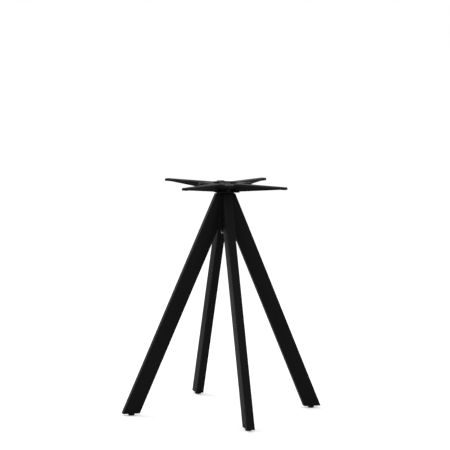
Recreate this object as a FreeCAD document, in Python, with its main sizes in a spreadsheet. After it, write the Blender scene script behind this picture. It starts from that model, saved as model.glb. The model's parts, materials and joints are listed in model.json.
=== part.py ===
import FreeCAD, Part
import math
import os
import re

import Sketcher

# Four-legged table base with a cast star on top.
# Frame: origin on the floor under the centre, +Z up, +X towards the right leg, +Y towards the rear leg.
# Lengths are in millimetres and angles in degrees.

DIMENSIONS = {
    # whole base
    "base_height": 726.0,  # floor to the table top's underside
    "foot_reach": 327.2,  # centre to a leg's outer face, measured on the floor
    "top_reach": 30.8,  # the same, at the leg's upper end
    "leg_drop": 5.2,  # the legs end this far under the top plate
    # rectangular tube of the legs and the column
    "tube_depth": 50.0,
    "tube_width": 25.0,
    "tube_wall": 2.0,
    "tube_corner": 2.5,
    # leg ends
    "foot_height": 7.0,  # floor to the leg's end plate
    "end_plate_thickness": 3.0,
    "glide_inset": 29.5,  # leg's outer face at the end plate to a levelling glide's axis
    "bush_flats": 14.0,
    "bush_height": 12.0,
    # levelling glide
    "glide_thread": 8.0,
    "glide_thread_length": 30.0,
    "glide_head_flats": 13.0,
    "glide_head_height": 3.5,
    "glide_foot_diameter": 20.0,
    "glide_foot_top_diameter": 18.0,
    "glide_foot_taper_height": 4.5,  # the foot is straight up to here
    "thread_gap": 0.08,  # on the radius, between a screw and its tapped hole
    "moulding_gap": 0.05,
    # plate on top of the legs
    "plate_side": 75.0,
    "plate_thickness": 4.0,
    "plate_corner": 5.0,
    # plate closing the column's lower end
    "column_plate_thickness": 4.0,
    "column_plate_gap": 0.1,
    # bolt that ties the star to the column
    "bolt_thread": 12.0,
    "bolt_drop": 1.0,  # the bolt's end stays this far under the tapped boss
    "bolt_head_flats": 19.0,
    "bolt_head_height": 7.5,
    "bolt_hole": 13.0,
    "bolt_point": 1.2,
    "washer_diameter": 24.0,
    "washer_thickness": 2.5,
    "spring_washer_diameter": 21.1,
    "spring_washer_bore": 12.3,
    "spring_washer_thickness": 2.5,
    "spring_washer_slit": 1.6,
    "spring_washer_slant": 25.0,
    # cast star: hub
    "star_angle": 40.5,  # first long arm from the right leg
    "hub_depth": 24.0,
    "flange_radius": 59.0,
    "flange_thickness": 7.5,
    "recess_radius": 40.0,
    "recess_depth": 6.0,
    "boss_radius": 18.5,
    "boss_drop": 1.0,  # the tapped boss stays this far under the star's top
    "cup_radius": 46.0,
    "cup_depth": 14.0,
    "seat_radius": 29.5,
    "draft": 1.2,  # lean of the cast walls, across their height
    # cast star: arms
    "arm_count": 4,
    "arm_start": 49.0,
    "long_reach": 226.0,
    "long_root_width": 33.0,
    "long_tip_width": 21.0,
    "long_tip_corner": 6.0,
    "short_reach": 83.5,
    "short_root_width": 28.0,
    "short_tip_width": 24.0,
    "short_tip_corner": 5.0,
    "arm_root_round": 5.0,
    "edge_ease": 2.0,
    # cast star: ribs under the arms
    "rib_crest_width": 5.0,  # along a rib's lower edge
    "rib_draft": 5.6,  # lean of a rib's sides
    "rib_tip_depth": 1.0,  # a rib's far end still stands this far below the flange
    "long_rib_bend": 56.0,
    "long_rib_short": 21.0,  # a long arm's rib ends this much before its tip
    "short_rib_bend": 54.0,
    "short_rib_short": 5.5,
    # table screws
    "screw_hole": 7.0,
    "long_screw_inset": 12.0,  # from the tip of a long arm
    "short_screw_inset": 13.0,  # from the tip of a short arm
}

LEG_NAMES = ["right", "rear", "left", "front"]
TINY = 1e-4  # two places nearer than this are the same

# Heights and distances that follow from the sizes, each as a formula of their names.
PLATE_BOTTOM = "(base_height - hub_depth - plate_thickness)"
LEG_TOP = f"({PLATE_BOTTOM} - leg_drop)"
TUBE_BOTTOM = "(foot_height + end_plate_thickness)"
SLOPE = f"((foot_reach - top_reach) / {LEG_TOP})"  # a leg's run inwards for its rise
STRETCH = f"sqrt(1 + {SLOPE} * {SLOPE})"  # a level cut's length against a square one's
TUBE_ACROSS = f"(tube_depth * {STRETCH})"
WALL_ACROSS = f"(tube_wall * {STRETCH})"
COLUMN_BOTTOM = f"((foot_reach - {TUBE_ACROSS} - tube_depth / 2) / {SLOPE})"  # where the legs fork
GLIDE_REACH = f"(foot_reach - foot_height * {SLOPE} - glide_inset)"
WASHER_BOTTOM = f"({COLUMN_BOTTOM} - washer_thickness)"
BOLT_SEAT = f"({WASHER_BOTTOM} - spring_washer_thickness)"
BOLT_LENGTH = f"(base_height - boss_drop - bolt_drop - {BOLT_SEAT})"

doc = FreeCAD.newDocument("table_base")
sheet = doc.addObject("Spreadsheet::Sheet", "size")


def fill_sheet():
    for row, (name, number) in enumerate(DIMENSIONS.items(), start=1):
        sheet.set(f"A{row}", name.replace("_", " "))
        sheet.set(f"B{row}", str(number))
        sheet.setAlias(f"B{row}", name)
    doc.recompute()


def formula(text):
    """The text with each dimension's name pointing into the sheet."""

    def point(match):
        word = match.group(0)
        return f"size.{word}" if word in DIMENSIONS else word

    return re.sub(r"[a-z][a-z_]*", point, str(text))


def number(text):
    return float(sheet.evalExpression(formula(text)))


def bind(item, path, text):
    item.setExpression(path, formula(text))


def outer_face(height):
    """Distance from the centre to a leg's outer face at a height."""
    return f"(foot_reach - {height} * {SLOPE})"


def inner_face(height):
    return f"({outer_face(height)} - {TUBE_ACROSS})"


def new_body(name):
    body = doc.addObject("PartDesign::Body", name)
    body.Label = name
    return body


def new_sketch(body, name, plane="XY_Plane", height=None, turn=0.0):
    """A sketch on one of the body's own planes, raised along the plane's normal and turned in it."""
    sketch = body.newObject("Sketcher::SketchObject", name)
    face = [item for item in body.Origin.OriginFeatures if item.Role == plane][0]
    sketch.AttachmentSupport = [(face, "")]
    sketch.MapMode = "FlatFace"
    upright = FreeCAD.Vector(0, 0, 1) if plane == "XY_Plane" else FreeCAD.Vector(0, 1, 0)
    sketch.AttachmentOffset = FreeCAD.Placement(FreeCAD.Vector(0, 0, 0), FreeCAD.Rotation(upright, turn))
    if height is not None and plane == "XY_Plane":
        bind(sketch, "AttachmentOffset.Base.z", height)
    elif height is not None:
        bind(sketch, "AttachmentOffset.Base.x", f"{height} * sin({turn})")
        bind(sketch, "AttachmentOffset.Base.z", f"{height} * cos({turn})")
    return sketch


def pin_point(sketch, element, end, across, along):
    """Hold a point of the sketch at two formulas, measured from the sketch's origin."""
    for kind, axis, text in (("DistanceX", -2, across), ("DistanceY", -1, along)):
        if abs(number(text)) < 1e-9:
            sketch.addConstraint(Sketcher.Constraint("PointOnObject", element, end, axis))
        else:
            held = Sketcher.Constraint(kind, -1, 1, element, end, number(text))
            bind(sketch, f"Constraints[{sketch.addConstraint(held)}]", text)


def draw_outline(sketch, corners):
    """A closed outline of straight lines through corners given as pairs of formulas."""
    points = [FreeCAD.Vector(number(x), number(y), 0) for x, y in corners]
    count = len(points)
    first = sketch.GeometryCount
    for index in range(count):
        line = Part.LineSegment(points[index], points[(index + 1) % count])
        sketch.addGeometry(line, False)
    for index in range(count):
        after = first + (index + 1) % count
        sketch.addConstraint(Sketcher.Constraint("Coincident", first + index, 2, after, 1))
    for index, (x, y) in enumerate(corners):
        pin_point(sketch, first + index, 1, x, y)


def draw_circle(sketch, radius, across="0", along="0"):
    centre = FreeCAD.Vector(number(across), number(along), 0)
    circle = Part.Circle(centre, FreeCAD.Vector(0, 0, 1), number(radius))
    element = sketch.addGeometry(circle, False)
    pin_point(sketch, element, 3, across, along)
    held = Sketcher.Constraint("Radius", element, number(radius))
    bind(sketch, f"Constraints[{sketch.addConstraint(held)}]", radius)


def draw_rectangle(sketch, width, depth):
    """A rectangle centred on the sketch's origin."""
    x, y = f"({width}) / 2", f"({depth}) / 2"
    corners = [(f"-{x}", f"-{y}"), (x, f"-{y}"), (x, y), (f"-{x}", y)]
    draw_outline(sketch, corners)


def draw_window(sketch, low, high):
    """A rectangle between two opposite corners."""
    draw_outline(sketch, [low, (high[0], low[1]), high, (low[0], high[1])])


def draw_hexagon(sketch, flats):
    """A hexagon round the sketch's origin, with two of its corners on the X axis."""
    side = f"({flats}) / sqrt(3)"
    corners = [(side, "0"), (f"{side} / 2", f"({flats}) / 2"), (f"-{side} / 2", f"({flats}) / 2")]
    corners += [(f"-{side}", "0"), (f"-{side} / 2", f"-({flats}) / 2"), (f"{side} / 2", f"-({flats}) / 2")]
    draw_outline(sketch, corners)


def extrude(kind, body, name, sketch, length, both_sides=False, reverse=False):
    feature = body.newObject(f"PartDesign::{kind}", name)
    feature.Profile = sketch
    bind(feature, "Length", length)
    feature.Midplane = both_sides
    feature.Reversed = reverse
    doc.recompute()
    return feature


def pad(body, name, sketch, length, **options):
    return extrude("Pad", body, name, sketch, length, **options)


def pocket(body, name, sketch, length, **options):
    return extrude("Pocket", body, name, sketch, length, **options)


def revolve(body, name, sketch, kind="Revolution"):
    feature = body.newObject(f"PartDesign::{kind}", name)
    feature.Profile = sketch
    feature.ReferenceAxis = (sketch, ["V_Axis"])
    feature.Angle = 360
    doc.recompute()
    return feature


def repeat_round(body, name, features, sketch, axis="N_Axis"):
    """The features, as often as the star has arms, round the axis."""
    pattern = body.newObject("PartDesign::PolarPattern", name)
    pattern.Originals = features
    pattern.Axis = (sketch, [axis])
    pattern.Angle = 360
    bind(pattern, "Occurrences", "arm_count")
    body.Tip = pattern
    doc.recompute()
    return pattern


def edges_where(shape, wanted):
    return [f"Edge{index}" for index, edge in enumerate(shape.Edges, start=1) if wanted(edge)]


def soften(body, name, base, edges, size, kind="Fillet"):
    """A fillet or chamfer on some edges of the body's last feature."""
    feature = body.newObject(f"PartDesign::{kind}", name)
    feature.Base = (base, edges)
    bind(feature, "Radius" if kind == "Fillet" else "Size", size)
    doc.recompute()
    return feature


def direction(edge):
    ends = [vertex.Point for vertex in edge.Vertexes]
    if len(ends) != 2 or edge.Curve.TypeId != "Part::GeomLine":
        return FreeCAD.Vector(0, 0, 0)
    return (ends[1] - ends[0]).normalize()


def is_upright(edge):
    return abs(direction(edge).z) > 0.999


def radius_of(point):
    return math.hypot(point.x, point.y)


def follows_leg(edge):
    along = direction(edge)
    return abs(along.y) < TINY and abs(abs(along.x) - number(SLOPE) * abs(along.z)) < TINY < abs(along.z)


def make_leg(side, turn):
    """Tube sawn level at the foot and just under the plate, and upright where it meets the column."""
    body = new_body(f"leg_{side}")
    low, high = "(-tube_depth)", f"({LEG_TOP} + tube_depth)"
    outside = new_sketch(body, f"leg_{side}_outside", "XZ_Plane")
    draw_outline(
        outside,
        [
            (outer_face(low), low),
            (outer_face(high), high),
            (inner_face(high), high),
            (inner_face(low), low),
        ],
    )
    bar = pad(body, f"leg_{side}_bar", outside, "tube_width", both_sides=True)
    soften(body, f"leg_{side}_corners", bar, edges_where(bar.Shape, follows_leg), "tube_corner")

    hollow = new_sketch(body, f"leg_{side}_hollow", "XZ_Plane")
    draw_outline(
        hollow,
        [
            (f"{outer_face(low)} - {WALL_ACROSS}", low),
            (f"{outer_face(high)} - {WALL_ACROSS}", high),
            (f"{inner_face(high)} + {WALL_ACROSS}", high),
            (f"{inner_face(low)} + {WALL_ACROSS}", low),
        ],
    )
    pocket(body, f"leg_{side}_bore", hollow, "tube_width - 2 * tube_wall", both_sides=True)

    column_face = "tube_depth / 2" if side in ("right", "left") else "tube_width / 2"
    cuts = new_sketch(body, f"leg_{side}_cuts", "XZ_Plane")
    draw_window(cuts, ("-foot_reach", "-foot_reach"), ("3 * foot_reach", f"2 * {LEG_TOP}"))
    draw_window(cuts, (column_face, TUBE_BOTTOM), ("2 * foot_reach", LEG_TOP))
    pocket(body, f"leg_{side}_sawn", cuts, "2 * tube_width", both_sides=True)
    body.Placement = FreeCAD.Placement(FreeCAD.Vector(0, 0, 0), FreeCAD.Rotation(turn, 0, 0))
    return body


def make_end_plate(side, turn):
    """Plate that closes the leg's foot, ground flush with the tube, with a hole for the glide."""
    body = new_body(f"leg_end_plate_{side}")
    profile = new_sketch(body, f"end_plate_{side}_profile", "XZ_Plane")
    draw_outline(
        profile,
        [
            (outer_face("foot_height"), "foot_height"),
            (outer_face(TUBE_BOTTOM), TUBE_BOTTOM),
            (inner_face(TUBE_BOTTOM), TUBE_BOTTOM),
            (inner_face("foot_height"), "foot_height"),
        ],
    )
    plate = pad(body, f"end_plate_{side}_blank", profile, "tube_width", both_sides=True)
    corners = edges_where(plate.Shape, follows_leg)
    soften(body, f"end_plate_{side}_corners", plate, corners, "tube_corner")
    hole = new_sketch(body, f"end_plate_{side}_hole", "XY_Plane")
    draw_circle(hole, "glide_thread / 2 + thread_gap", GLIDE_REACH)
    pocket(body, f"end_plate_{side}_bored", hole, TUBE_BOTTOM, reverse=True)
    body.Placement = FreeCAD.Placement(FreeCAD.Vector(0, 0, 0), FreeCAD.Rotation(turn, 0, 0))
    return body


def place_on_glide_axis(body, turn):
    """The body's own axis is put on the glide's axis of the leg at that turn."""
    body.Placement = FreeCAD.Placement(FreeCAD.Vector(0, 0, 0), FreeCAD.Rotation(turn, 0, 0))
    bind(body, "Placement.Base.x", f"{GLIDE_REACH} * cos({turn})")
    bind(body, "Placement.Base.y", f"{GLIDE_REACH} * sin({turn})")


def make_bush(side, turn):
    """Tapped hexagon bush welded inside the leg, on its end plate."""
    body = new_body(f"leg_bush_{side}")
    outline = new_sketch(body, f"bush_{side}_outline", "XY_Plane", TUBE_BOTTOM)
    draw_hexagon(outline, "bush_flats")
    draw_circle(outline, "glide_thread / 2 + thread_gap")
    pad(body, f"bush_{side}_cut", outline, "bush_height")
    place_on_glide_axis(body, turn)
    return body


def make_glide_stud(side, turn):
    """Threaded stud with a hexagon head that the foot is moulded round."""
    body = new_body(f"glide_stud_{side}")
    hexagon = new_sketch(body, f"glide_{side}_hexagon", "XY_Plane", "foot_height - glide_head_height")
    draw_hexagon(hexagon, "glide_head_flats")
    pad(body, f"glide_{side}_head", hexagon, "glide_head_height")
    shank = new_sketch(body, f"glide_{side}_shank", "XY_Plane", "foot_height")
    draw_circle(shank, "glide_thread / 2")
    pad(body, f"glide_{side}_thread", shank, "glide_thread_length")
    place_on_glide_axis(body, turn)
    return body


def make_glide_foot(side, turn):
    """Moulded foot: a puck that tapers up to the leg."""
    body = new_body(f"glide_foot_{side}")
    profile = new_sketch(body, f"foot_{side}_profile", "XZ_Plane")
    draw_outline(
        profile,
        [
            ("0", "0"),
            ("glide_foot_diameter / 2", "0"),
            ("glide_foot_diameter / 2", "glide_foot_taper_height"),
            ("glide_foot_top_diameter / 2", "foot_height"),
            ("0", "foot_height"),
        ],
    )
    revolve(body, f"foot_{side}_puck", profile)
    nest = new_sketch(body, f"foot_{side}_nest", "XY_Plane", "foot_height")
    draw_hexagon(nest, "glide_head_flats + 2 * moulding_gap")
    pocket(body, f"foot_{side}_nested", nest, "glide_head_height")
    place_on_glide_axis(body, turn)
    return body


def make_column():
    """Upright length of the legs' tube that they are welded round."""
    body = new_body("column")
    outside = new_sketch(body, "column_outside", "XY_Plane", COLUMN_BOTTOM)
    draw_rectangle(outside, "tube_depth", "tube_width")
    bar = pad(body, "column_bar", outside, f"{PLATE_BOTTOM} - {COLUMN_BOTTOM}")
    soften(body, "column_corners", bar, edges_where(bar.Shape, is_upright), "tube_corner")
    inside = new_sketch(body, "column_inside", "XY_Plane", COLUMN_BOTTOM)
    draw_rectangle(inside, "tube_depth - 2 * tube_wall", "tube_width - 2 * tube_wall")
    pocket(body, "column_bore", inside, PLATE_BOTTOM, reverse=True)
    return body


def make_column_plate():
    """Plate set flush into the column's lower end, which the tie bolt pulls against."""
    body = new_body("column_end_plate")
    outline = new_sketch(body, "column_plate_outline", "XY_Plane", COLUMN_BOTTOM)
    room = "2 * (tube_wall + column_plate_gap)"
    draw_rectangle(outline, f"tube_depth - {room}", f"tube_width - {room}")
    draw_circle(outline, "bolt_hole / 2")
    pad(body, "column_plate_blank", outline, "column_plate_thickness")
    return body


def make_top_plate():
    """Square plate welded on the column, which carries the star."""
    body = new_body("top_plate")
    outline = new_sketch(body, "top_plate_outline", "XY_Plane", PLATE_BOTTOM)
    draw_rectangle(outline, "plate_side", "plate_side")
    draw_circle(outline, "bolt_hole / 2")
    plate = pad(body, "top_plate_blank", outline, "plate_thickness")
    soften(body, "top_plate_corners", plate, edges_where(plate.Shape, is_upright), "plate_corner")
    return body


def make_tie_bolt():
    """Hexagon bolt up the middle of the column, into the star's tapped boss."""
    body = new_body("tie_bolt")
    head_bottom = f"({BOLT_SEAT} - bolt_head_height)"
    hexagon = new_sketch(body, "bolt_hexagon", "XY_Plane", head_bottom)
    draw_hexagon(hexagon, "bolt_head_flats")
    pad(body, "bolt_head", hexagon, "bolt_head_height")
    bevel = new_sketch(body, "bolt_bevel", "XZ_Plane")
    draw_outline(
        bevel,
        [
            ("bolt_head_flats / 2", head_bottom),
            ("bolt_head_flats", head_bottom),
            ("bolt_head_flats", f"{head_bottom} + (bolt_head_flats / 2) * tan(30)"),
        ],
    )
    revolve(body, "bolt_head_bevelled", bevel, kind="Groove")
    shank = new_sketch(body, "bolt_shank", "XY_Plane", BOLT_SEAT)
    draw_circle(shank, "bolt_thread / 2")
    threaded = pad(body, "bolt_threaded", shank, BOLT_LENGTH)
    top = number(f"{BOLT_SEAT} + {BOLT_LENGTH}")
    rim = edges_where(threaded.Shape, lambda edge: abs(edge.CenterOfMass.z - top) < TINY)
    soften(body, "bolt_pointed", threaded, rim, "bolt_point", kind="Chamfer")
    return body


def make_washer():
    body = new_body("tie_bolt_washer")
    ring = new_sketch(body, "washer_ring", "XY_Plane", WASHER_BOTTOM)
    draw_circle(ring, "washer_diameter / 2")
    draw_circle(ring, "bolt_hole / 2")
    pad(body, "washer_stamped", ring, "washer_thickness")
    return body


def make_spring_washer():
    """Ring split by a slanting slit."""
    body = new_body("tie_bolt_spring_washer")
    ring = new_sketch(body, "spring_washer_ring", "XY_Plane", BOLT_SEAT)
    draw_circle(ring, "spring_washer_diameter / 2")
    draw_circle(ring, "spring_washer_bore / 2")
    pad(body, "spring_washer_coil", ring, "spring_washer_thickness")
    slit = new_sketch(body, "spring_washer_slit_side", "XZ_Plane")
    half = "(spring_washer_slit / 2)"
    shift = "(spring_washer_thickness * tan(spring_washer_slant))"
    low = f"({BOLT_SEAT} - spring_washer_thickness)"
    high = f"({WASHER_BOTTOM} + spring_washer_thickness)"
    draw_outline(
        slit,
        [
            (f"-{half} - 1.5 * {shift}", low),
            (f"{half} - 1.5 * {shift}", low),
            (f"{half} + 1.5 * {shift}", high),
            (f"-{half} + 1.5 * {shift}", high),
        ],
    )
    pocket(body, "spring_washer_split", slit, "spring_washer_diameter")
    return body


def draw_arm(sketch, length):
    """An arm seen from above: a bar that narrows from the hub to its tip, along +X."""
    draw_outline(
        sketch,
        [
            ("arm_start", f"-{length}_root_width / 2"),
            (f"{length}_reach", f"-{length}_tip_width / 2"),
            (f"{length}_reach", f"{length}_tip_width / 2"),
            ("arm_start", f"{length}_root_width / 2"),
        ],
    )


def add_rib(body, length, turn):
    """A rib with cast draft: as deep as the hub up to the bend, then rising to the flange."""
    top = "((recess_depth + flange_thickness) / 2)"  # inside the flange, and under the recess
    sections = (
        ("inner", "(seat_radius - rib_crest_width)", "hub_depth"),
        ("bend", f"{length}_rib_bend", "hub_depth"),
        ("outer", f"({length}_reach - {length}_rib_short)", "(flange_thickness + rib_tip_depth)"),
    )
    sketches = []
    for place, distance, depth in sections:
        sketch = new_sketch(body, f"{length}_rib_{place}", "YZ_Plane", distance, turn)
        half = f"(rib_crest_width / 2 + ({depth} - {top}) * tan(rib_draft))"
        draw_outline(
            sketch,
            [
                (f"-{half}", f"-{top}"),
                ("-rib_crest_width / 2", f"-{depth}"),
                ("rib_crest_width / 2", f"-{depth}"),
                (half, f"-{top}"),
            ],
        )
        sketches.append(sketch)
    rib = body.newObject("PartDesign::AdditiveLoft", f"{length}_rib")
    rib.Profile = sketches[0]
    rib.Sections = sketches[1:]
    rib.Ruled = True
    doc.recompute()
    return rib


def make_hub(body):
    """Flange with a recess and a tapped boss above, and a cup and the seat on the top plate below."""
    hub_side = new_sketch(body, "hub_side", "XZ_Plane")
    bore = "bolt_thread / 2 + thread_gap"
    draw_outline(
        hub_side,
        [
            (bore, "-boss_drop"),
            ("boss_radius", "-boss_drop"),
            ("boss_radius + draft", "-recess_depth"),
            ("recess_radius - draft", "-recess_depth"),
            ("recess_radius", "0"),
            ("flange_radius", "0"),
            ("flange_radius", "-flange_thickness"),
            ("cup_radius", "-flange_thickness"),
            ("cup_radius - draft", "-cup_depth"),
            ("seat_radius + draft", "-cup_depth"),
            ("seat_radius", "-hub_depth"),
            (bore, "-hub_depth"),
        ],
    )
    return revolve(body, "hub", hub_side)


def round_upright_edges(body, name, radius_from_axis, size):
    """Round the upright edges that reach the star's top at a distance from its axis."""
    base = body.Tip

    def wanted(edge):
        from_top = any(abs(vertex.Point.z) < TINY for vertex in edge.Vertexes)
        distance = radius_of(edge.CenterOfMass)
        return from_top and is_upright(edge) and abs(distance - radius_from_axis) < TINY

    return soften(body, name, base, edges_where(base.Shape, wanted), size)


def ease_top_edges(body):
    base = body.Tip

    def on_top_outline(edge):
        flat = all(abs(vertex.Point.z) < TINY for vertex in edge.Vertexes)
        return flat and radius_of(edge.CenterOfMass) > number("recess_radius")

    edges = edges_where(base.Shape, on_top_outline)
    return soften(body, "top_edges_eased", base, edges, "edge_ease", kind="Chamfer")


def drill_screw_holes(body, length, turn):
    """A hole near the tip of each arm of one length."""
    hole = new_sketch(body, f"{length}_screw_hole", "XY_Plane", turn=turn)
    draw_circle(hole, "screw_hole / 2", f"{length}_reach - {length}_screw_inset")
    drilled = pocket(body, f"{length}_screw_drilled", hole, "2 * flange_thickness")
    repeat_round(body, f"{length}_screws_drilled", [drilled], hole)


def make_star():
    """Casting with four long and four short T-section arms round a hub."""
    body = new_body("top_star")
    make_hub(body)
    turns = {"long": 0.0, "short": number("180 / arm_count")}
    for length, turn in turns.items():
        plan = new_sketch(body, f"{length}_arm_plan", "XY_Plane", turn=turn)
        draw_arm(plan, length)
        flange = pad(body, f"{length}_arm_flange", plan, "flange_thickness", reverse=True)
        rib = add_rib(body, length, turn)
        repeat_round(body, f"{length}_arms", [flange, rib], plan)
    for length in turns:
        corner = math.hypot(number(f"{length}_reach"), number(f"{length}_tip_width") / 2)
        round_upright_edges(body, f"{length}_tips_rounded", corner, f"{length}_tip_corner")
    round_upright_edges(body, "arm_roots_rounded", number("flange_radius"), "arm_root_round")
    ease_top_edges(body)
    for length, turn in turns.items():
        drill_screw_holes(body, length, turn)
    bind(body, "Placement.Base.z", "base_height")
    body.Placement.Rotation = FreeCAD.Rotation(FreeCAD.Vector(0, 0, 1), number("star_angle"))
    bind(body, "Placement.Rotation.Angle", "star_angle")
    return body


def check_document():
    failed = [item.Name for item in doc.Objects if {"Invalid", "Error"} & set(item.State)]
    if failed:
        raise RuntimeError(f"these objects failed: {failed}")


def write_parts(bodies):
    for body in bodies:
        shape = body.Shape
        if shape.isNull() or not shape.isValid():
            raise RuntimeError(f"{body.Label} has no valid shape")
        if len(shape.Solids) != 1:
            raise RuntimeError(f"{body.Label} has {len(shape.Solids)} solids")
    os.makedirs("parts", exist_ok=True)
    for body in bodies:
        body.Shape.exportStep(f"parts/{body.Label}.step")
        box = body.Shape.BoundBox
        print(
            f"{body.Label}: {body.Shape.Volume / 1000:.2f} cm3,"
            f" x {box.XMin:.1f}..{box.XMax:.1f}, y {box.YMin:.1f}..{box.YMax:.1f},"
            f" z {box.ZMin:.1f}..{box.ZMax:.1f}"
        )


def main():
    fill_sheet()
    bodies = [
        make_star(),
        make_top_plate(),
        make_column(),
        make_column_plate(),
        make_tie_bolt(),
        make_washer(),
        make_spring_washer(),
    ]
    for index, side in enumerate(LEG_NAMES):
        turn = 90.0 * index
        bodies.append(make_leg(side, turn))
        bodies.append(make_end_plate(side, turn))
        bodies.append(make_bush(side, turn))
        bodies.append(make_glide_stud(side, turn))
        bodies.append(make_glide_foot(side, turn))
    doc.recompute()
    check_document()
    write_parts(bodies)


main()
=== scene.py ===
import json
import math

import bmesh
import bpy
from mathutils import Matrix, Vector


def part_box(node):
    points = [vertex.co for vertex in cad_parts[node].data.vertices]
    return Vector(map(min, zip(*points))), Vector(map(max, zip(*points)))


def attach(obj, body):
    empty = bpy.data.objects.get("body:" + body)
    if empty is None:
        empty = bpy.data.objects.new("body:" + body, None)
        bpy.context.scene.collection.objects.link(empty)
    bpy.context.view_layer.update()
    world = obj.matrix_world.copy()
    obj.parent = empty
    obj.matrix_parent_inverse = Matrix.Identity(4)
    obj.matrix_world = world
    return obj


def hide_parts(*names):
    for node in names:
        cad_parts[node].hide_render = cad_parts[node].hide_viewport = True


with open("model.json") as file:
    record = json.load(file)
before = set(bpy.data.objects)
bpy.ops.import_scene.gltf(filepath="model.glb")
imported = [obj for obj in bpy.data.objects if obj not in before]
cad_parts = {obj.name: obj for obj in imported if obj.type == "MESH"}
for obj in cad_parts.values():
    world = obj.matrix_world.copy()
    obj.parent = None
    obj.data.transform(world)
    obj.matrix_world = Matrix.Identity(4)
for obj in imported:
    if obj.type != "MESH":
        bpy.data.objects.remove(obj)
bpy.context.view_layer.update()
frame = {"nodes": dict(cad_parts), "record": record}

NODES = frame["nodes"]
SIDES = ("right", "rear", "left", "front")
MM = 0.001
UP = Vector((0.0, 0.0, 1.0))

# Camera, worked out from the photograph. Its own frame has the camera straight in front of the base.
PICTURE_WIDTH = 450.0  # pixels
FOCAL_LENGTH = 2172.85  # pixels
SENSOR = 36.0  # millimetres
CAMERA_DISTANCE = 6.7556
CAMERA_HEIGHT = 1.3913
CAMERA_PITCH = 6.738  # degrees, as the next two
CAMERA_YAW = 0.010
CAMERA_ROLL = 0.754
FARTHEST_SEEN = 100.0
BASE_TURN = 15.85  # degrees that the right leg points away from the picture's right

# Corners of the boxes round the pieces that others are fitted to, taken from the frame.
COLUMN_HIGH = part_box("column")[1]
FOOT_LOW, FOOT_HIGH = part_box("glide_foot_right")
STUD_LOW, STUD_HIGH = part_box("glide_stud_right")
BOLT_LOW, BOLT_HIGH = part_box("tie_bolt")
LEG_LOW, LEG_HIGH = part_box("leg_right")
SPRING_WASHER_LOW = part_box("tie_bolt_spring_washer")[0]
GLIDE_REACH = (FOOT_LOW.x + FOOT_HIGH.x) / 2


def add_camera():
    data = bpy.data.cameras.new("camera")
    data.sensor_width = SENSOR
    data.lens = FOCAL_LENGTH / PICTURE_WIDTH * SENSOR
    data.clip_end = FARTHEST_SEEN
    camera = bpy.data.objects.new("camera", data)
    bpy.context.scene.collection.objects.link(camera)
    aim = Matrix.Rotation(math.radians(-CAMERA_YAW), 4, "Z")
    aim = aim @ Matrix.Rotation(math.radians(90.0 - CAMERA_PITCH), 4, "X")
    aim = aim @ Matrix.Rotation(math.radians(CAMERA_ROLL), 4, "Z")
    stand = Matrix.Translation((0.0, -CAMERA_DISTANCE, CAMERA_HEIGHT))
    camera.matrix_world = Matrix.Rotation(math.radians(-BASE_TURN), 4, "Z") @ stand @ aim
    bpy.context.scene.camera = camera


add_camera()


class Value:
    """A number or a colour that varies from place to place. Sums and products of it add Math nodes."""

    def __init__(self, nodes, socket):
        self.nodes = nodes
        self.socket = socket

    def math(self, operation, first, second):
        return self.nodes.node("ShaderNodeMath", {"operation": operation}, {0: first, 1: second})

    def __add__(self, other):
        return self.math("ADD", self, other)

    def __radd__(self, other):
        return self.math("ADD", other, self)

    def __mul__(self, other):
        return self.math("MULTIPLY", self, other)

    def __rmul__(self, other):
        return self.math("MULTIPLY", other, self)


class Nodes:
    """A node tree, and the one way in which nodes are added to it."""

    def __init__(self, tree):
        self.tree = tree

    def node(self, kind, settings=None, inputs=None, output=0):
        made = self.tree.nodes.new(kind)
        for name, value in (settings or {}).items():
            setattr(made, name, value)
        for name, value in (inputs or {}).items():
            self.feed(made.inputs[name], value)
        return Value(self, made.outputs[output])

    def feed(self, socket, value):
        if isinstance(value, Value):
            self.tree.links.new(value.socket, socket)
        else:
            socket.default_value = value


# Places of the colour sockets on a Mix node, whose names stand for several sockets.
MIX_FACTOR = 0
MIX_FIRST = 6
MIX_SECOND = 7
MIX_RESULT = 2


class Finish(Nodes):
    """A material and the nodes that make it."""

    def __init__(self, name, **constants):
        self.material = bpy.data.materials.new(name)
        self.material.use_nodes = True
        super().__init__(self.material.node_tree)
        self.shader = self.tree.nodes["Principled BSDF"]
        for socket, value in constants.items():
            self.shader.inputs[socket.replace("_", " ")].default_value = value
        self.place = self.node("ShaderNodeTexCoord", output="Object")

    def noise(self, grain, detail=2.0, roughness=0.5):
        """Even noise whose grains are that many metres wide."""
        inputs = {"Vector": self.place, "Scale": 1.0 / grain, "Detail": detail, "Roughness": roughness}
        return self.node("ShaderNodeTexNoise", {}, inputs)

    def cells(self, grain):
        """Distance from the middle of the nearest cell, for cells that many metres wide."""
        return self.node("ShaderNodeTexVoronoi", {}, {"Vector": self.place, "Scale": 1.0 / grain})

    def stepped(self, value, low, high):
        """0 under low, 1 over high and smooth between them."""
        inputs = {"Value": value, "From Min": low, "From Max": high}
        return self.node("ShaderNodeMapRange", {"interpolation_type": "SMOOTHSTEP"}, inputs)

    def blend(self, factor, first, second):
        """A colour between two others."""
        inputs = {MIX_FACTOR: factor, MIX_FIRST: (*first, 1.0), MIX_SECOND: (*second, 1.0)}
        return self.node("ShaderNodeMix", {"data_type": "RGBA"}, inputs, MIX_RESULT)

    def bump(self, height, distance, strength, below=None):
        """The surface's normal over a relief that many metres high, on top of the relief below."""
        inputs = {"Height": height, "Distance": distance, "Strength": strength}
        if below is not None:
            inputs["Normal"] = below
        return self.node("ShaderNodeBump", {}, inputs)

    def set(self, **varying):
        for name, value in varying.items():
            self.feed(self.shader.inputs[name.replace("_", " ")], value)
        return self.material


COAT_IOR = 1.16  # the coat is nearly black face on and shines only at a low angle


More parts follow.
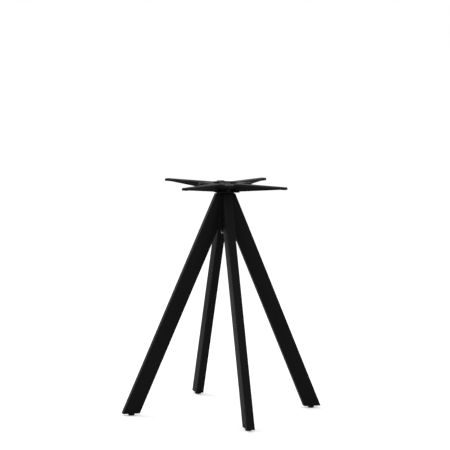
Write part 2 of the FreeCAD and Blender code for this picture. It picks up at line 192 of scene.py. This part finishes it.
def powder_coat():
    """Satin black powder coat: a fine orange peel over steel tube."""
    coat = Finish("powder_coat", IOR=COAT_IOR)
    drift = coat.noise(0.060, detail=3.0)
    peel = coat.noise(0.0016, detail=1.0)
    grain = coat.noise(0.0004, detail=1.0)
    normal = coat.bump(peel, 0.00006, strength=0.7)
    normal = coat.bump(grain, 0.00002, strength=0.4, below=normal)
    return coat.set(
        Base_Color=coat.blend(drift, (0.0032, 0.0032, 0.0033), (0.0056, 0.0056, 0.0057)),
        Roughness=0.55 + 0.08 * drift,
        Normal=normal,
    )


def casting_coat():
    """The same coat over a sand casting, which shows the sand's grain through it."""
    coat = Finish("coated_casting", IOR=COAT_IOR)
    drift = coat.noise(0.030, detail=4.0)
    sand = coat.noise(0.0018, detail=4.0, roughness=0.6)
    pits = coat.stepped(coat.cells(0.0035), 0.05, 0.30)
    normal = coat.bump(sand, 0.00022, strength=0.8)
    normal = coat.bump(pits, 0.00005, strength=0.5, below=normal)
    return coat.set(
        Base_Color=coat.blend(drift, (0.0045, 0.0045, 0.0047), (0.0080, 0.0080, 0.0082)),
        Roughness=0.44 + 0.14 * drift,
        Normal=normal,
    )


def zinc_plate():
    """Bright zinc over a rolled thread and a forged head."""
    zinc = Finish("zinc", Metallic=1.0)
    cloud = zinc.noise(0.004, detail=4.0)
    scratch = zinc.noise(0.0005, detail=2.0)
    return zinc.set(
        Base_Color=zinc.blend(cloud, (0.62, 0.63, 0.65), (0.78, 0.79, 0.80)),
        Roughness=0.28 + 0.18 * cloud,
        Normal=zinc.bump(scratch, 0.00002, strength=0.5),
    )


def bare_steel():
    """Drawn steel as it comes from the bar."""
    steel = Finish("bare_steel", Metallic=1.0)
    cloud = steel.noise(0.006, detail=3.0)
    return steel.set(
        Base_Color=steel.blend(cloud, (0.36, 0.36, 0.37), (0.48, 0.48, 0.49)),
        Roughness=0.34 + 0.14 * cloud,
        Normal=steel.bump(steel.noise(0.0006), 0.00002, strength=0.5),
    )


def black_oxide():
    """Steel blackened in hot salts, slightly oily."""
    black = Finish("black_oxide", IOR=1.3)
    cloud = black.noise(0.003, detail=3.0)
    return black.set(
        Base_Color=black.blend(cloud, (0.004, 0.004, 0.0045), (0.008, 0.008, 0.009)),
        Roughness=0.34 + 0.16 * cloud,
        Normal=black.bump(black.noise(0.0005), 0.00002, strength=0.5),
    )


def foot_plastic():
    """Black moulded plastic with a fine spark-eroded texture."""
    plastic = Finish("foot_plastic", IOR=1.2)
    cloud = plastic.noise(0.008, detail=3.0)
    return plastic.set(
        Base_Color=plastic.blend(cloud, (0.006, 0.006, 0.0065), (0.010, 0.010, 0.0105)),
        Roughness=0.52 + 0.12 * cloud,
        Normal=plastic.bump(plastic.noise(0.0006), 0.00003, strength=0.6),
    )


FINISHES = {
    "powder_coat": powder_coat(),
    "coated_casting": casting_coat(),
    "zinc": zinc_plate(),
    "black_oxide": black_oxide(),
    "bare_steel": bare_steel(),
    "foot_plastic": foot_plastic(),
}
SLOT_OF = {entry["node"]: entry["material_slot"] for entry in frame["record"]["subparts"]}
BODY_OF = {}
for body_name, body_nodes in frame["record"]["behaviour"]["bodies"].items():
    for node_name in body_nodes:
        BODY_OF[node_name] = body_name


def add_piece(name, mesh, finish, body, replaced=()):
    """A new piece with its finish, on its body, in place of the nodes that it stands for."""
    piece = bpy.data.objects.new(name, mesh)
    bpy.context.scene.collection.objects.link(piece)
    mesh.materials.clear()
    mesh.materials.append(FINISHES[finish])
    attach(piece, body)
    if replaced:
        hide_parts(*replaced)


def shade(work, sharp_angle):
    """Smooth faces that break at edges over the angle."""
    for face in work.faces:
        face.smooth = True
    limit = math.radians(sharp_angle)
    for edge in work.edges:
        edge.smooth = len(edge.link_faces) == 2 and edge.calc_face_angle(0.0) < limit


def mesh_from(work, name):
    mesh = bpy.data.meshes.new(name)
    work.to_mesh(mesh)
    work.free()
    return mesh


# Angles in degrees between two faces that meet.
FLAT_UNDER = 1.0  # the faces are parts of one
SMOOTH_UNDER = 25.0  # the edge is shaded as a curve
ROUND_OVER = 30.0  # the edge is rounded
BEAD_SMOOTH_UNDER = 60.0

SAME_PLACE = 1e-6
EDGE_STEPS = 2  # strips of faces round a rounded edge


def dressed(node, edge_round):
    """A copy of a node whose sharp edges are rounded, in place of the node."""
    work = bmesh.new()
    work.from_mesh(NODES[node].data)
    bmesh.ops.remove_doubles(work, verts=work.verts, dist=SAME_PLACE)
    bmesh.ops.dissolve_limit(
        work, angle_limit=math.radians(FLAT_UNDER), verts=work.verts, edges=work.edges, delimit={"NORMAL"}
    )
    limit = math.radians(ROUND_OVER)
    sharp = [edge for edge in work.edges if len(edge.link_faces) == 2]
    sharp = [edge for edge in sharp if edge.calc_face_angle(0.0) > limit]
    bmesh.ops.bevel(
        work, geom=sharp, offset=edge_round, segments=EDGE_STEPS, profile=0.5, affect="EDGES",
        clamp_overlap=True,
    )
    bmesh.ops.triangulate(work, faces=[face for face in work.faces if len(face.verts) > 4])
    shade(work, SMOOTH_UNDER)
    add_piece(f"{node}_skin", mesh_from(work, node), SLOT_OF[node], BODY_OF[node], (node,))


def round_surface(name, rows, segments, centre=(0.0, 0.0)):
    """A closed surface round an upright axis. A row is a height and a function from angle to radius."""
    work = bmesh.new()
    rings = []
    for height, radius in rows:
        ring = []
        for step in range(segments):
            angle = math.tau * step / segments
            reach = radius(angle, height)
            ring.append(work.verts.new((
                centre[0] + reach * math.cos(angle),
                centre[1] + reach * math.sin(angle),
                height,
            )))
        rings.append(ring)
    join_rings(work, rings)
    shade(work, SMOOTH_UNDER)
    return mesh_from(work, name)


def join_rings(work, rings):
    """Faces between neighbouring rings, and a lid on the first and on the last."""
    count = len(rings[0])
    for low, high in zip(rings, rings[1:]):
        for step in range(count):
            after = (step + 1) % count
            work.faces.new((low[step], low[after], high[after], high[step]))
    work.faces.new(list(reversed(rings[0])))
    work.faces.new(rings[-1])


def circle(radius):
    return lambda angle, height: radius


def hexagon(flats, turn=0.0):
    """A hexagon with a corner at the turn."""

    def radius(angle, height):
        across = (angle - turn) % (math.pi / 3) - math.pi / 6
        return flats / 2 / math.cos(across)

    return radius


FLAT = 0.1  # share of the pitch that a thread's crest takes, and its root too


def thread(radius, pitch, depth):
    """A right-hand thread: ridges with flat crests that climb one pitch a turn."""

    def reach(angle, height):
        phase = (height / pitch - angle / math.tau) % 1.0
        ridge = abs(2.0 * phase - 1.0)
        return radius - depth * min(1.0, max(0.0, (ridge - FLAT) / (1.0 - 2.0 * FLAT)))

    return reach


def evenly(low, high, step):
    count = max(1, round((high - low) / step))
    return [low + (high - low) * index / count for index in range(count + 1)]


THREAD_ROWS = 8  # rows of faces in a turn of thread
SCREW_SIDES = 48  # faces round a screw, a multiple of 6 so that a hexagon's corners lie on them
FOOT_SIDES = 64


def glide_stud(side, centre):
    """Hexagon head that the foot holds, and the threaded stud above it."""
    head_low, head_high = STUD_LOW.z, FOOT_HIGH.z
    flats = 13.0 * MM
    thread_radius, pitch, depth = 4.0 * MM, 1.25 * MM, 0.65 * MM
    run_in, point = 0.2 * MM, 0.8 * MM
    head = hexagon(flats, math.radians(90.0 * SIDES.index(side)))
    core = circle(thread_radius - depth)
    screw = thread(thread_radius, pitch, depth)
    rows = [(head_low, head), (head_high, head), (head_high, core)]
    rows += [(z, screw) for z in evenly(head_high + run_in, STUD_HIGH.z - point, pitch / THREAD_ROWS)]
    rows += [(STUD_HIGH.z, core)]
    node = f"glide_stud_{side}"
    mesh = round_surface(node, rows, SCREW_SIDES, centre)
    add_piece(f"{node}_threaded", mesh, "zinc", f"glide_{side}", (node,))


SOLE_ROUND = 1.8 * MM
SOLE_STEPS = 6
DISH_DEPTH = 0.3 * MM  # of the shallow dish in the middle of the sole
DISH_TOP = 0.35  # radius of the dish's flat top, as a share of the foot's
DISH_RIM = 0.45  # radius of its rim, as a share of the foot's

# Up the foot's side: height above the floor, and how far the side lies inside the full radius.
FOOT_SIDE = (
    (3.9 * MM, 0.0),
    (4.3 * MM, 0.10 * MM),
    (4.5 * MM, 0.35 * MM),
    (4.8 * MM, 0.45 * MM),
    (6.3 * MM, 0.85 * MM),
    (6.8 * MM, 1.05 * MM),
)
COLLAR_INSET = 1.45 * MM
TOP_RING = 7.4 * MM  # radius of the innermost ring of faces on the flat top


def glide_foot(side, centre):
    """Moulded puck with a rounded sole, a fine moulding step and a tapered collar."""
    radius = (FOOT_HIGH.x - FOOT_LOW.x) / 2
    floor, top = FOOT_LOW.z, FOOT_HIGH.z
    rows = [(floor + DISH_DEPTH, DISH_TOP * radius), (floor, DISH_RIM * radius)]
    for step in range(SOLE_STEPS + 1):
        angle = math.pi / 2 * step / SOLE_STEPS
        rows.append((
            floor + SOLE_ROUND * (1 - math.cos(angle)),
            radius - SOLE_ROUND * (1 - math.sin(angle)),
        ))
    rows += [(floor + height, radius - inset) for height, inset in FOOT_SIDE]
    rows += [(top, radius - COLLAR_INSET), (top, TOP_RING)]
    rows = [(height, circle(reach)) for height, reach in rows]
    node = f"glide_foot_{side}"
    mesh = round_surface(node, rows, FOOT_SIDES, centre)
    add_piece(f"{node}_moulded", mesh, "foot_plastic", f"glide_{side}", (node,))


def tie_bolt():
    """Forged head with a chamfered underside, plain shank and a threaded end in the star's boss."""
    head_low, head_high = BOLT_LOW.z, SPRING_WASHER_LOW.z
    flats = BOLT_HIGH.y - BOLT_LOW.y
    dish_depth, dish_top, dish_rim = 0.25 * MM, 0.38 * flats, 0.42 * flats
    chamfer_height, chamfer_step = 1.6 * MM, 0.2 * MM
    chamfer_slope = math.tan(math.radians(30.0))
    shank_radius, pitch, depth = 6.0 * MM, 1.75 * MM, 0.9 * MM
    thread_length, run_in, point = 38.0 * MM, 1.0 * MM, 1.2 * MM
    side = hexagon(flats)

    def chamfered(angle, height):
        return min(side(angle, height), flats / 2 + (height - head_low) / chamfer_slope)

    rows = [(head_low + dish_depth, circle(dish_top)), (head_low, circle(dish_rim))]
    rows += [(z, chamfered) for z in evenly(head_low, head_low + chamfer_height, chamfer_step)]
    rows += [(head_high, side), (head_high, circle(shank_radius))]
    thread_start = BOLT_HIGH.z - thread_length
    rows += [(thread_start - run_in, circle(shank_radius))]
    screw = thread(shank_radius, pitch, depth)
    rows += [(z, screw) for z in evenly(thread_start, BOLT_HIGH.z - point, pitch / THREAD_ROWS)]
    rows += [(BOLT_HIGH.z, circle(shank_radius - point))]
    mesh = round_surface("tie_bolt", rows, SCREW_SIDES)
    add_piece("tie_bolt_threaded", mesh, "zinc", "frame", ("tie_bolt",))


RIPPLE = 1.7 * MM  # length of one ripple of a weld
RIPPLE_RINGS = 5
BEAD_SIDES = 10
BEAD_END = 0.35  # a bead's width at its very end, as a share of the full one
UPRIGHT_UNDER = 0.1  # a run whose level part is a smaller share than this counts as upright


def points_along(path):
    """Points on the straight runs between a path's corners, each with the way from its start."""
    points = []
    travelled = 0.0
    for start, end in zip(path, path[1:]):
        run = (end - start).length
        count = max(2, round(run / (RIPPLE / RIPPLE_RINGS)))
        for step in range(count):
            points.append((start.lerp(end, step / count), travelled + run * step / count))
        travelled += run
    points.append((path[-1], travelled))
    return points


def weld_bead(name, path, width, ripple_height):
    """A weld along a path: a rounded bead that ripples and fades at its ends."""
    work = bmesh.new()
    points = points_along(path)
    length = points[-1][1]
    rings = []
    for index, (centre, along) in enumerate(points):
        before = points[max(0, index - 1)][0]
        after = points[min(len(points) - 1, index + 1)][0]
        forward = (after - before).normalized()
        level = forward.cross(UP)
        across = level.normalized() if level.length > UPRIGHT_UNDER else Vector((1.0, 0.0, 0.0))
        other = forward.cross(across)
        phase = (along / RIPPLE) % 1.0
        dip = 1.0 - math.sqrt(max(0.0, 1.0 - (2.0 * phase - 1.0) ** 2))
        fade = min(1.0, BEAD_END + along / width, BEAD_END + (length - along) / width)
        reach = width / 2 * (1.0 - ripple_height * dip) * fade
        ring = []
        for side in range(BEAD_SIDES):
            angle = math.tau * side / BEAD_SIDES
            offset = across * math.cos(angle) + other * math.sin(angle)
            ring.append(work.verts.new(centre + offset * reach))
        rings.append(ring)
    join_rings(work, rings)
    bmesh.ops.recalc_face_normals(work, faces=work.faces)
    shade(work, BEAD_SMOOTH_UNDER)
    add_piece(name, mesh_from(work, name), "powder_coat", "frame")


def round_rectangle(low, high, corner, inset):
    """A closed path just inside a rectangle, cut across its corners."""
    left, near = low
    right, far = high
    path = [
        (right - inset, far - corner), (right - corner, far - inset),
        (left + corner, far - inset), (left + inset, far - corner),
        (left + inset, near + corner), (left + corner, near + inset),
        (right - corner, near + inset), (right - inset, near + corner),
    ]
    return path + path[:1]


def quarter_turn(index):
    """The turn from the right leg to another one."""
    return Matrix.Rotation(math.radians(90.0 * index), 4, "Z")


# Widths of welds and seams, and how deep their ripples are, as a share of the bead's radius.
SEAM_WELD = 2.6 * MM
TOP_WELD = 2.4 * MM
WELD_RIPPLE = 0.25
FOOT_SEAM = 0.9 * MM
FOOT_RIPPLE = 0.1

SEAM_DEPTH = 1.4 * MM  # a bead lies this deep in the groove where leg and column are flush
TOP_WELD_GAP = 1.5 * MM  # between the end of a top weld and the seam beside it
COLUMN_CORNER = 1.5 * MM
LEG_CORNER = 2.2 * MM
FOOT_SEAM_INSET = 0.15 * MM


def column_welds():
    """Beads in the seams of the legs and the column, and round the column's top under the plate."""
    half_width = LEG_HIGH.y
    top = LEG_HIGH.z
    for index, side in enumerate(SIDES):
        turn = quarter_turn(index)
        flush = side in ("right", "left")
        face = COLUMN_HIGH.x if flush else COLUMN_HIGH.y
        seam = half_width - SEAM_DEPTH if flush else half_width
        fork = fork_height(face)
        for hand, hand_name in ((-1, "left"), (1, "right")):
            path = [Vector((face, hand * seam, fork)), Vector((face, hand * seam, top))]
            path = [turn @ point for point in path]
            weld_bead(f"weld_leg_{side}_{hand_name}", path, SEAM_WELD, WELD_RIPPLE)
        end = seam - TOP_WELD_GAP
        path = [turn @ Vector((face, -end, top)), turn @ Vector((face, end, top))]
        weld_bead(f"weld_top_{side}", path, TOP_WELD, WELD_RIPPLE)
    long, short, height = COLUMN_HIGH
    loop = round_rectangle((-long, -short), (long, short), COLUMN_CORNER, 0.0)
    weld_bead("weld_plate", [Vector((x, y, height)) for x, y in loop], TOP_WELD, WELD_RIPPLE)


SAME_HEIGHT = 1e-5


def leg_faces(height):
    """Distances from the centre to a leg's inner and outer face, at one of its ends."""
    mesh = NODES["leg_right"].data
    reaches = [vertex.co.x for vertex in mesh.vertices if abs(vertex.co.z - height) < SAME_HEIGHT]
    return min(reaches), max(reaches)


def fork_height(column_face):
    """Height at which a leg's inner face meets the column."""
    inner_foot, outer_foot = leg_faces(LEG_LOW.z)
    outer_top = leg_faces(LEG_HIGH.z)[1]
    slope = (outer_foot - outer_top) / (LEG_HIGH.z - LEG_LOW.z)
    return LEG_LOW.z + (inner_foot - column_face) / slope


def foot_seams():
    """The thin dressed seam between each leg and its end plate."""
    inner, outer = leg_faces(LEG_LOW.z)
    half_width = LEG_HIGH.y
    loop = round_rectangle((inner, -half_width), (outer, half_width), LEG_CORNER, FOOT_SEAM_INSET)
    for index, side in enumerate(SIDES):
        turn = quarter_turn(index)
        path = [turn @ Vector((x, y, LEG_LOW.z)) for x, y in loop]
        weld_bead(f"seam_foot_{side}", path, FOOT_SEAM, FOOT_RIPPLE)


# Lamps, each with its place before the base is turned, its width in metres and its watts.
LAMPS = (
    ("key", (-2.4, 1.4, 2.8), 2.4, 60.0),
    ("fill", (2.2, -2.4, 2.2), 2.0, 18.0),
)
LAMP_AIM = Vector((0.0, 0.0, 0.4))


def add_lamps():
    """A broad soft lamp from the upper left and behind, and a weak one from the front right."""
    for name, place, size, power in LAMPS:
        data = bpy.data.lights.new(name, "AREA")
        data.shape = "DISK"
        data.size = size
        data.energy = power
        lamp = bpy.data.objects.new(name, data)
        bpy.context.scene.collection.objects.link(lamp)
        lamp.location = Matrix.Rotation(math.radians(-BASE_TURN), 3, "Z") @ Vector(place)
        lamp.rotation_euler = (LAMP_AIM - lamp.location).to_track_quat("-Z", "Y").to_euler()


WORLD_LIGHT = 0.8  # the world's strength on the object
WORLD_SEEN = 1.0  # its strength where it is seen, straight, in gloss or through glass


def add_world():
    """White where the camera, gloss or glass sees it, and plain light for the rest."""
    world = bpy.data.worlds.new("studio")
    world.use_nodes = True
    bpy.context.scene.world = world
    sky = Nodes(world.node_tree)
    seen = sky.node("ShaderNodeLightPath", output="Is Camera Ray")
    for ray in ("Is Glossy Ray", "Is Transmission Ray"):
        seen = seen.math("MAXIMUM", seen, sky.node("ShaderNodeLightPath", output=ray))
    background = sky.tree.nodes["Background"]
    sky.feed(background.inputs["Color"], (1.0, 1.0, 1.0, 1.0))
    sky.feed(background.inputs["Strength"], WORLD_LIGHT + (WORLD_SEEN - WORLD_LIGHT) * seen)


FLOOR_GLOW = 0.40  # lifts the lit floor to white for the camera alone
FLOOR_REACH = 30.0


def add_floor():
    """Pale floor that goes over into the white background."""
    corners = [(-1, -1), (1, -1), (1, 1), (-1, 1)]
    mesh = bpy.data.meshes.new("floor")
    mesh.from_pydata([(x * FLOOR_REACH, y * FLOOR_REACH, 0.0) for x, y in corners], [], [(0, 1, 2, 3)])
    floor = bpy.data.objects.new("floor", mesh)
    bpy.context.scene.collection.objects.link(floor)
    paper = Finish("floor_paper", Roughness=0.9, Specular_IOR_Level=0.0, Emission_Strength=FLOOR_GLOW)
    tint = paper.noise(0.5)
    seen = paper.node("ShaderNodeLightPath", output="Is Camera Ray")
    mesh.materials.append(paper.set(
        Base_Color=paper.blend(tint, (0.79, 0.79, 0.79), (0.81, 0.81, 0.81)),
        Emission_Color=paper.blend(seen, (0.0, 0.0, 0.0), (1.0, 1.0, 1.0)),
    ))


def main():
    dressed("top_star", 0.7 * MM)
    dressed("top_plate", 0.6 * MM)
    dressed("column", 0.2 * MM)
    dressed("column_end_plate", 0.4 * MM)
    dressed("tie_bolt_washer", 0.25 * MM)
    dressed("tie_bolt_spring_washer", 0.2 * MM)
    tie_bolt()
    for index, side in enumerate(SIDES):
        dressed(f"leg_{side}", 0.2 * MM)
        dressed(f"leg_end_plate_{side}", 0.4 * MM)
        dressed(f"leg_bush_{side}", 0.3 * MM)
        angle = math.radians(90.0 * index)
        centre = (GLIDE_REACH * math.cos(angle), GLIDE_REACH * math.sin(angle))
        glide_stud(side, centre)
        glide_foot(side, centre)
    column_welds()
    foot_seams()
    add_floor()
    add_lamps()
    add_world()


main()
bpy.context.scene.view_settings.view_transform = "Standard"
